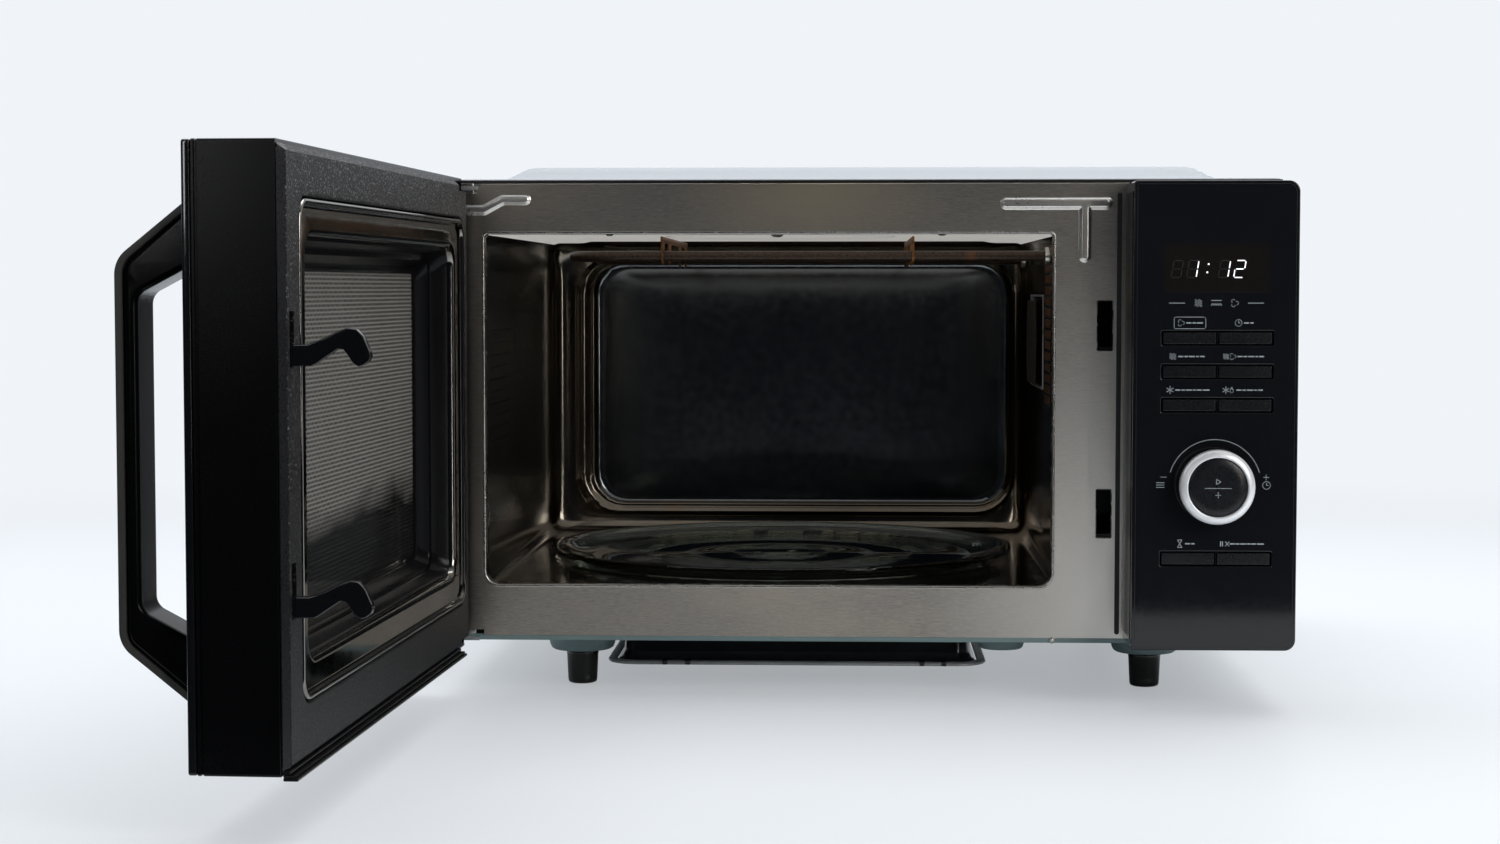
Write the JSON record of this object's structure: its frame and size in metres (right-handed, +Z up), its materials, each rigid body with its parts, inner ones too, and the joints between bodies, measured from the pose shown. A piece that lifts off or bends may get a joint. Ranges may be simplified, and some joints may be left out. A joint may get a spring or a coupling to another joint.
{
  "type": "microwave oven",
  "caption": "Countertop microwave oven with grill and convection fan, steel cavity, glass turntable, side-hinged hooked door and control panel with dial and keys.",
  "frame": {"origin": "centre of the whole model's box at worktop height, door standing open as stored", "axes": "+Z up, +Y to the oven's back, +X to the control panel's side"},
  "size_m": [0.5944, 0.8176, 0.325],
  "materials": {
    "brushed_steel": "horizontal brushed stainless, satin",
    "cavity_steel": "smooth stainless, slightly dark",
    "grey_green_paint": "satin powder paint",
    "pale_grey_paint": "satin powder paint",
    "galvanised_steel": "zinc-coated sheet",
    "gloss_black": "gloss",
    "matt_black": "fine texture, matt",
    "smoked_glass": "polished, dark",
    "tray_glass": "polished, clear",
    "satin_aluminium": "satin",
    "grey_trim": "dark anodised",
    "foot_plastic": "semi gloss",
    "circuit_board": "semi matt",
    "laminated_iron": "varnished laminations",
    "mica": "matt",
    "heater_sheath": "heat-darkened",
    "white_plastic": "matt"
  },
  "bodies": {
    "root": {"cavity": "cavity_steel", "front_plate": "brushed_steel", "cabinet_wrapper": "pale_grey_paint", "back_panel": "galvanised_steel", "base_plate": "grey_green_paint", "foot_front_left": "foot_plastic", "foot_front_right": "foot_plastic", "foot_rear_left": "foot_plastic", "foot_rear_right": "foot_plastic", "floor_heat_shield": "matt_black", "upper_hinge_bracket": "galvanised_steel", "lower_hinge_bracket": "galvanised_steel", "control_panel_housing": "gloss_black", "display_window": "smoked_glass", "control_board": "circuit_board", "latch_board": "matt_black", "upper_interlock_switch": "matt_black", "lower_interlock_switch": "matt_black", "magnetron": "galvanised_steel", "waveguide": "galvanised_steel", "waveguide_cover": "mica", "hv_transformer": "laminated_iron", "fan_motor": "laminated_iron", "turntable_motor": "galvanised_steel", "grill_heater": "heater_sheath", "heater_bracket_left": "galvanised_steel", "heater_bracket_right": "galvanised_steel", "oven_lamp": "white_plastic", "convection_housing": "galvanised_steel", "convection_motor": "laminated_iron", "cord_gland": "matt_black"},
    "door": {"door_frame": "matt_black", "door_front_panel": "gloss_black", "door_outer_glass": "smoked_glass", "choke_cover": "matt_black", "door_inner_panel": "brushed_steel", "door_inner_glass": "smoked_glass", "door_handle": "matt_black", "handle_trim": "grey_trim", "latch_spring": "galvanised_steel"},
    "latch": {"latch_hook_bar": "matt_black"},
    "dial": {"dial_ring": "satin_aluminium", "dial_skirt": "matt_black"},
    "start_button": {"start_button": "matt_black"},
    "cooling_fan": {"cooling_fan_blade": "white_plastic"},
    "convection_fan": {"convection_impeller": "satin_aluminium"},
    "turntable": {"turntable_coupler": "white_plastic"},
    "tray": {"glass_tray": "tray_glass"},
    "roller_ring": {"roller_ring": "white_plastic"},
    "roller_1": {"roller_1": "white_plastic"},
    "roller_2": {"roller_2": "white_plastic"},
    "roller_3": {"roller_3": "white_plastic"},
    "microwave_key": {"microwave_key": "gloss_black"},
    "clock_key": {"clock_key": "gloss_black"},
    "combination_key": {"combination_key": "gloss_black"},
    "grill_key": {"grill_key": "gloss_black"},
    "quick_defrost_key": {"quick_defrost_key": "gloss_black"},
    "auto_defrost_key": {"auto_defrost_key": "gloss_black"},
    "preset_key": {"preset_key": "gloss_black"},
    "cancel_key": {"cancel_key": "gloss_black"}
  },
  "joints": [
    {"name": "door_hinge", "type": "hinge", "parent": "root", "child": "door", "pos_m": [-0.20756, -0.00357, 0.175], "axis": [0, 0, 1], "range_deg": [-5.5, 92.5]},
    {"name": "latch_lift", "type": "slide", "parent": "door", "child": "latch", "axis": [0, 0, 1], "range_m": [0, 0.006], "stiffness_N_per_m": 150, "springref_m": -0.004, "deforming": ["latch_spring"]},
    {"name": "dial_turn", "type": "hinge", "parent": "root", "child": "dial", "pos_m": [0.24904, -0.05217, 0.1336], "axis": [0, -1, 0], "continuous": true},
    {"name": "start_press", "type": "slide", "parent": "root", "child": "start_button", "axis": [0, 1, 0], "range_m": [0, 0.0015], "stiffness_N_per_m": 400},
    {"name": "microwave_key_press", "type": "slide", "parent": "root", "child": "microwave_key", "axis": [0, 1, 0], "range_m": [0, 0.001], "stiffness_N_per_m": 500},
    {"name": "clock_key_press", "type": "slide", "parent": "root", "child": "clock_key", "axis": [0, 1, 0], "range_m": [0, 0.001], "stiffness_N_per_m": 500},
    {"name": "combination_key_press", "type": "slide", "parent": "root", "child": "combination_key", "axis": [0, 1, 0], "range_m": [0, 0.001], "stiffness_N_per_m": 500},
    {"name": "grill_key_press", "type": "slide", "parent": "root", "child": "grill_key", "axis": [0, 1, 0], "range_m": [0, 0.001], "stiffness_N_per_m": 500},
    {"name": "quick_defrost_key_press", "type": "slide", "parent": "root", "child": "quick_defrost_key", "axis": [0, 1, 0], "range_m": [0, 0.001], "stiffness_N_per_m": 500},
    {"name": "auto_defrost_key_press", "type": "slide", "parent": "root", "child": "auto_defrost_key", "axis": [0, 1, 0], "range_m": [0, 0.001], "stiffness_N_per_m": 500},
    {"name": "preset_key_press", "type": "slide", "parent": "root", "child": "preset_key", "axis": [0, 1, 0], "range_m": [0, 0.001], "stiffness_N_per_m": 500},
    {"name": "cancel_key_press", "type": "slide", "parent": "root", "child": "cancel_key", "axis": [0, 1, 0], "range_m": [0, 0.001], "stiffness_N_per_m": 500},
    {"name": "cooling_fan_spin", "type": "hinge", "parent": "root", "child": "cooling_fan", "pos_m": [0.23194, 0.35783, 0.185], "axis": [0, 1, 0], "continuous": true},
    {"name": "convection_fan_spin", "type": "hinge", "parent": "root", "child": "convection_fan", "pos_m": [-0.01271, 0.19283, 0.288], "axis": [0, 0, 1], "continuous": true},
    {"name": "turntable_spin", "type": "hinge", "parent": "root", "child": "turntable", "pos_m": [-0.01271, 0.19283, 0.055], "axis": [0, 0, 1], "continuous": true},
    {"name": "tray_lift", "type": "slide", "parent": "turntable", "child": "tray", "axis": [0, 0, 1], "range_m": [0, 0.08]},
    {"name": "roller_ring_spin", "type": "hinge", "parent": "root", "child": "roller_ring", "pos_m": [-0.01271, 0.19283, 0.0588], "axis": [0, 0, 1], "continuous": true},
    {"name": "roller_1_spin", "type": "hinge", "parent": "roller_ring", "child": "roller_1", "pos_m": [0.07476, 0.24333, 0.0588], "axis": [0.866, 0.5, 0], "continuous": true},
    {"name": "roller_2_spin", "type": "hinge", "parent": "roller_ring", "child": "roller_2", "pos_m": [-0.10018, 0.24333, 0.0588], "axis": [-0.866, 0.5, 0], "continuous": true},
    {"name": "roller_3_spin", "type": "hinge", "parent": "roller_ring", "child": "roller_3", "pos_m": [-0.01271, 0.09183, 0.0588], "axis": [0, -1, 0], "continuous": true}
  ],
  "couplings": [
    {"joint": "roller_ring_spin", "follows": "turntable_spin", "ratio": 0.5},
    {"joint": "roller_1_spin", "follows": "turntable_spin", "ratio": -8.4167},
    {"joint": "roller_2_spin", "follows": "turntable_spin", "ratio": -8.4167},
    {"joint": "roller_3_spin", "follows": "turntable_spin", "ratio": -8.4167}
  ]
}
